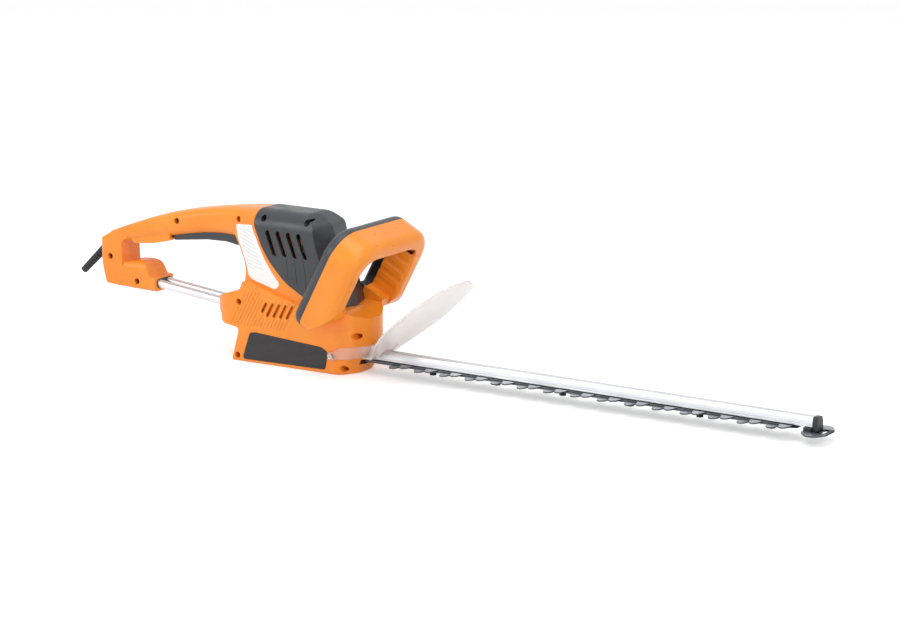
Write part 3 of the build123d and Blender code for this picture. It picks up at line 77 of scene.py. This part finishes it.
def seenRays(tree):
    # camera, glossy and transmission rays see the background as white
    path = tree.nodes.new("ShaderNodeLightPath")
    first = tree.nodes.new("ShaderNodeMath")
    first.operation = "MAXIMUM"
    tree.links.new(path.outputs["Is Camera Ray"], first.inputs[0])
    tree.links.new(path.outputs["Is Glossy Ray"], first.inputs[1])
    second = tree.nodes.new("ShaderNodeMath")
    second.operation = "MAXIMUM"
    tree.links.new(first.outputs[0], second.inputs[0])
    tree.links.new(path.outputs["Is Transmission Ray"], second.inputs[1])
    return second.outputs[0]


def addWorld():
    world = bpy.data.worlds.new("studioWorld")
    bpy.context.scene.world = world
    world.use_nodes = True
    tree = world.node_tree
    back = tree.nodes["Background"]
    back.inputs["Color"].default_value = (1, 1, 1, 1)
    level = tree.nodes.new("ShaderNodeMapRange")
    level.inputs["To Min"].default_value = studio["worldStrength"]
    level.inputs["To Max"].default_value = 1.0
    tree.links.new(seenRays(tree), level.inputs["Value"])
    tree.links.new(level.outputs[0], back.inputs["Strength"])


def addFloor():
    bpy.ops.object.select_all(action="DESELECT")
    bpy.ops.mesh.primitive_plane_add(size=studio["floorSize"], location=(0, 0, 0))
    floor = bpy.context.object
    floor.name = "studioFloor"
    paper = bpy.data.materials.new("floorPaper")
    paper.use_nodes = True
    tree = paper.node_tree
    shader = tree.nodes["Principled BSDF"]
    shader.inputs["Base Color"].default_value = studio["floorColour"]
    shader.inputs["Roughness"].default_value = 0.6
    glow = tree.nodes.new("ShaderNodeEmission")
    glow.inputs["Color"].default_value = (1, 1, 1, 1)
    level = tree.nodes.new("ShaderNodeMath")
    level.operation = "MULTIPLY"
    level.inputs[1].default_value = studio["floorGlow"]
    tree.links.new(seenRays(tree), level.inputs[0])
    tree.links.new(level.outputs[0], glow.inputs["Strength"])
    both = tree.nodes.new("ShaderNodeAddShader")
    tree.links.new(shader.outputs[0], both.inputs[0])
    tree.links.new(glow.outputs[0], both.inputs[1])
    tree.links.new(both.outputs[0], tree.nodes["Material Output"].inputs["Surface"])
    floor.data.materials.append(paper)


bpy.context.scene.view_settings.view_transform = "Standard"
addCamera()
addLamps()
addWorld()
addFloor()
print("studio ready")


# ---- finishes

def addNode(tree, kind, **values):
    made = tree.nodes.new("ShaderNode" + kind)
    for name, value in values.items():
        setattr(made, name, value)
    return made


def mathNode(tree, operation, first, second):
    made = addNode(tree, "Math", operation=operation)
    for socket, value in zip(made.inputs, (first, second)):
        if isinstance(value, (int, float)):
            socket.default_value = value
        else:
            tree.links.new(value, socket)
    return made.outputs[0]


def noise(tree, scale, detail=3.0, stretch=(1, 1, 1), roughness=0.5):
    place = addNode(tree, "TexCoord")
    mapping = addNode(tree, "Mapping")
    mapping.inputs["Scale"].default_value = stretch
    tree.links.new(place.outputs["Object"], mapping.inputs["Vector"])
    made = addNode(tree, "TexNoise")
    made.inputs["Scale"].default_value = scale
    made.inputs["Detail"].default_value = detail
    made.inputs["Roughness"].default_value = roughness
    tree.links.new(mapping.outputs[0], made.inputs["Vector"])
    return made.outputs["Fac"]


def rangeOf(tree, value, low, high, fromLow=0.3, fromHigh=0.7):
    made = addNode(tree, "MapRange")
    made.inputs["From Min"].default_value = fromLow
    made.inputs["From Max"].default_value = fromHigh
    made.inputs["To Min"].default_value = low
    made.inputs["To Max"].default_value = high
    tree.links.new(value, made.inputs["Value"])
    return made.outputs[0]


def mixColour(tree, share, first, second):
    made = addNode(tree, "Mix", data_type="RGBA")
    sockets = [made.inputs["Factor"], made.inputs[6], made.inputs[7]]
    for socket, value in zip(sockets, (share, first, second)):
        if isinstance(value, (int, float, tuple)):
            socket.default_value = value
        else:
            tree.links.new(value, socket)
    return made.outputs[2]


def edgeAmount(tree, radius, low=0.02, high=0.25):
    # how far the rounded normal leaves the real one, so 1 along an outer edge
    bevel = addNode(tree, "Bevel", samples=4)
    bevel.inputs["Radius"].default_value = radius
    geometry = addNode(tree, "NewGeometry")
    dot = addNode(tree, "VectorMath", operation="DOT_PRODUCT")
    tree.links.new(bevel.outputs[0], dot.inputs[0])
    tree.links.new(geometry.outputs["Normal"], dot.inputs[1])
    away = mathNode(tree, "SUBTRACT", 1.0, dot.outputs["Value"])
    return rangeOf(tree, away, 0.0, 1.0, low, high)


def mottled(tree, scale, detail, first, second):
    # two colours in soft clouds
    return mixColour(tree, rangeOf(tree, noise(tree, scale, detail), 0, 1), colour(*first), colour(*second))


def axesOf(tree):
    # the X, Y and Z of a point in the tool's own frame
    place = addNode(tree, "TexCoord")
    parts = addNode(tree, "SeparateXYZ")
    tree.links.new(place.outputs["Object"], parts.inputs[0])
    return parts.outputs


def startMaterial(name):
    made = bpy.data.materials.new(name)
    made.use_nodes = True
    return made, made.node_tree, made.node_tree.nodes["Principled BSDF"]


def roundedBump(tree, shader, height, strength, distance, radius):
    bump = addNode(tree, "Bump")
    bump.inputs["Strength"].default_value = strength
    bump.inputs["Distance"].default_value = distance
    tree.links.new(height, bump.inputs["Height"])
    if radius:
        bevel = addNode(tree, "Bevel", samples=6)
        bevel.inputs["Radius"].default_value = radius
        tree.links.new(bevel.outputs[0], bump.inputs["Normal"])
    tree.links.new(bump.outputs[0], shader.inputs["Normal"])


plastics = {
    # base colour, deeper colour in its mottle, lighter edge colour for scuffs and a painted edge highlight,
    # roughness span, grain depth, edge radius in metres
    "orange_plastic": ((249, 149, 38), (245, 139, 28), (252, 174, 88), (0.27, 0.38), 0.05, 0.0010),
    "grey_plastic": ((57, 59, 64), (50, 52, 57), (90, 94, 102), (0.30, 0.42), 0.26, 0.0009),
    "black_plastic": ((26, 27, 29), (20, 21, 23), (52, 54, 57), (0.34, 0.48), 0.22, 0.0005),
    "panel_plastic": ((35, 35, 38), (31, 31, 33), (66, 67, 71), (0.44, 0.58), 0.30, 0.0016),
    "white_plastic": ((236, 234, 228), (226, 223, 215), (244, 243, 240), (0.32, 0.44), 0.15, 0.0005),
}


def mouldedPlastic(name):
    base, deep, edgeWearAndHighlight, rough, grain, radius = plastics[name]
    made, tree, shader = startMaterial(name)
    body = mottled(tree, 18, 4, base, deep)
    flow = rangeOf(tree, noise(tree, 60, 2, (1, 1, 3)), 0, 1)
    patches = rangeOf(tree, noise(tree, 240, 5), 0, 0.55, 0.42, 0.62)
    # outer edges lightened in random patches: part scuffing, part painted edge highlight
    rubbedAndHighlit = mathNode(tree, "MULTIPLY", edgeAmount(tree, 0.0006, 0.12, 0.34), patches)
    tree.links.new(mixColour(tree, rubbedAndHighlit, body, colour(*edgeWearAndHighlight)), shader.inputs["Base Color"])
    tree.links.new(rangeOf(tree, flow, *rough, 0, 1), shader.inputs["Roughness"])
    spark = noise(tree, 700, 2, (1, 1, 1), 0.5)
    roundedBump(tree, shader, spark, grain, 0.0002, radius)
    shader.inputs["IOR"].default_value = 1.5
    return made


metals = {
    # colour, darker colour in its streaks, roughness span, grain scale, grain stretch, bump
    "rail_aluminium": ((222, 223, 226), (202, 204, 208), (0.32, 0.44), 900, (0.02, 1, 1), 0.08),
    "blade_steel": ((176, 178, 182), (142, 144, 149), (0.30, 0.44), 700, (1, 0.06, 1), 0.14),
    "dark_steel": ((46, 47, 50), (34, 35, 38), (0.34, 0.52), 800, (1, 1, 1), 0.20),
    "bright_steel": ((196, 197, 199), (164, 166, 170), (0.22, 0.36), 800, (1, 1, 1), 0.12),
    "core_steel": ((120, 121, 124), (86, 87, 90), (0.38, 0.55), 2600, (0.05, 0.05, 1), 0.30),
    "gearbox_alloy": ((168, 170, 172), (140, 142, 145), (0.42, 0.58), 500, (1, 1, 1), 0.35),
    "copper_wire": ((196, 108, 62), (150, 74, 40), (0.24, 0.38), 1200, (1, 1, 0.1), 0.35),
    "holder_brass": ((196, 158, 84), (164, 126, 60), (0.26, 0.40), 700, (1, 1, 1), 0.14),
}


bladeFinish = {
    "spineHalf": (0.0098, 0.0106),  # the blackened middle fades out between these, in metres
    # colour of the blackened spine, also used as painted shade on the upright side faces
    "spineAndShadeColour": (34, 34, 37),
}


def darkSpineAndSideShade(tree, body):
    # the blades are ground bright on their teeth and left blackened between them; their upright side faces
    # get painted shade
    across = mathNode(tree, "ABSOLUTE", axesOf(tree)["Y"], 0)
    ground = rangeOf(tree, across, 1.0, 0.0, *bladeFinish["spineHalf"])
    geometry = addNode(tree, "NewGeometry")
    facing = addNode(tree, "SeparateXYZ")
    tree.links.new(geometry.outputs["Normal"], facing.inputs[0])
    # upright faces, found from the normal, get painted shade on the blade's thin side faces
    level = mathNode(tree, "ABSOLUTE", facing.outputs["Z"], 0)
    sideFaceShade = rangeOf(tree, level, 0.75, 0.0, 0.3, 0.8)
    dark = mathNode(tree, "MAXIMUM", ground, sideFaceShade)
    return mixColour(tree, dark, body, colour(*bladeFinish["spineAndShadeColour"]))


def wornMetal(name):
    base, deep, rough, scale, stretch, depth = metals[name]
    made, tree, shader = startMaterial(name)
    grain = noise(tree, scale, 3, stretch, 0.6)
    cloud = rangeOf(tree, noise(tree, 30, 4), 0, 1)
    streak = rangeOf(tree, grain, 0, 1)
    share = mathNode(tree, "MULTIPLY", streak, rangeOf(tree, cloud, 0.35, 1.0, 0, 1))
    body = mixColour(tree, share, colour(*base), colour(*deep))
    if name == "blade_steel":
        body = darkSpineAndSideShade(tree, body)
    tree.links.new(body, shader.inputs["Base Color"])
    tree.links.new(rangeOf(tree, cloud, *rough, 0, 1), shader.inputs["Roughness"])
    shader.inputs["Metallic"].default_value = 1.0
    roundedBump(tree, shader, grain, depth, 0.0001, 0.0003)
    return made


def softRubber():
    made, tree, shader = startMaterial("sleeve_rubber")
    tree.links.new(mottled(tree, 40, 4, (30, 30, 32), (40, 40, 42)), shader.inputs["Base Color"])
    tree.links.new(rangeOf(tree, noise(tree, 90, 3), 0.48, 0.64), shader.inputs["Roughness"])
    roundedBump(tree, shader, noise(tree, 1100, 4), 0.25, 0.0002, 0.0004)
    return made


guardFinish = {
    "beltClear": 0.84,
    "shieldClear": 0.5,  # the rest is the milky body of the sheet
    "beltFront": (0.046, 0.060),  # the belt ends and the shield starts between these, in metres
    "haze": ((253, 250, 248), (248, 244, 241)),
}


def clearSheet():
    made, tree, shader = startMaterial("clear_plastic")
    spans = (guardFinish["beltClear"], guardFinish["shieldClear"], *guardFinish["beltFront"])
    clear = rangeOf(tree, axesOf(tree)["X"], *spans)
    tree.links.new(clear, shader.inputs["Transmission Weight"])
    shader.inputs["IOR"].default_value = 1.18
    tree.links.new(mottled(tree, 9, 4, *guardFinish["haze"]), shader.inputs["Base Color"])
    tree.links.new(rangeOf(tree, noise(tree, 70, 5), 0.12, 0.24), shader.inputs["Roughness"])
    roundedBump(tree, shader, noise(tree, 900, 2), 0.04, 0.0001, 0)
    return made


labelFinish = {
    "rowPitch": 0.0042,  # metres from one ruled line to the next
    "rowSlope": 0.22,
    "rowHalf": (0.05, 0.12),  # half of a line and where it has faded, as shares of the pitch
    "rowStrength": 0.55,
    "lowest": 0.111,
    "highest": 0.156,
    "sideSlope": 0.42,  # lean of the ruled block's two sides
    "rearSide": -0.0590,
    "frontSide": -0.0345,
    "fade": 0.001,
    "ink": (176, 178, 182),
    "paper": ((249, 249, 250), (243, 244, 245)),
}


def ruledLines(tree):
    # faint empty lines across the upper half of the label
    axes = axesOf(tree)
    fade = labelFinish["fade"]
    along = mathNode(tree, "ADD", axes["Z"], mathNode(tree, "MULTIPLY", axes["X"], labelFinish["rowSlope"]))
    row = mathNode(tree, "FRACT", mathNode(tree, "DIVIDE", along, labelFinish["rowPitch"]), 0)
    away = mathNode(tree, "ABSOLUTE", mathNode(tree, "SUBTRACT", row, 0.5), 0)
    line = rangeOf(tree, away, labelFinish["rowStrength"], 0.0, *labelFinish["rowHalf"])
    side = mathNode(tree, "ADD", axes["X"], mathNode(tree, "MULTIPLY", axes["Z"], labelFinish["sideSlope"]))
    limits = [
        (axes["Z"], 0.0, 1.0, labelFinish["lowest"]),
        (axes["Z"], 1.0, 0.0, labelFinish["highest"]),
        (side, 1.0, 0.0, labelFinish["frontSide"]),
        (side, 0.0, 1.0, labelFinish["rearSide"]),
    ]
    for value, before, after, start in limits:
        line = mathNode(tree, "MULTIPLY", line, rangeOf(tree, value, before, after, start, start + fade))
    return line


def labelFilm():
    made, tree, shader = startMaterial("label_film")
    paper = mottled(tree, 50, 3, *labelFinish["paper"])
    printed = mixColour(tree, ruledLines(tree), paper, colour(*labelFinish["ink"]))
    tree.links.new(printed, shader.inputs["Base Color"])
    tree.links.new(rangeOf(tree, noise(tree, 120, 3), 0.24, 0.34), shader.inputs["Roughness"])
    roundedBump(tree, shader, noise(tree, 900, 3), 0.06, 0.0001, 0)
    return made


def plainCarbon(name, base, deep, rough):
    made, tree, shader = startMaterial(name)
    tree.links.new(mottled(tree, 300, 5, base, deep), shader.inputs["Base Color"])
    tree.links.new(rangeOf(tree, noise(tree, 200, 3), *rough), shader.inputs["Roughness"])
    roundedBump(tree, shader, noise(tree, 1300, 4), 0.3, 0.0002, 0.0003)
    return made


finishes = {name: mouldedPlastic(name) for name in plastics}
finishes.update({name: wornMetal(name) for name in metals})
finishes["sleeve_rubber"] = softRubber()
finishes["clear_plastic"] = clearSheet()
finishes["label_film"] = labelFilm()
finishes["carbon"] = plainCarbon("carbon", (36, 36, 38), (24, 24, 25), (0.5, 0.66))
finishes["capacitor_case"] = plainCarbon("capacitor_case", (182, 160, 96), (168, 146, 84), (0.32, 0.44))
print("finishes ready:", len(finishes))


def slotOf(node):
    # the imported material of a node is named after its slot
    for part in node.material_slots:
        if part.material:
            name = part.material.name.split(".")[0]
            if name in finishes:
                return name
    return None


for name, node in nodes.items():
    found = "panel_plastic" if name.startswith("side_panel") else slotOf(node)
    if found is None:
        print("no finish for", name, [s.material.name if s.material else None for s in node.material_slots])
        continue
    for part in node.material_slots:
        part.material = finishes[found]
print("finishes given")
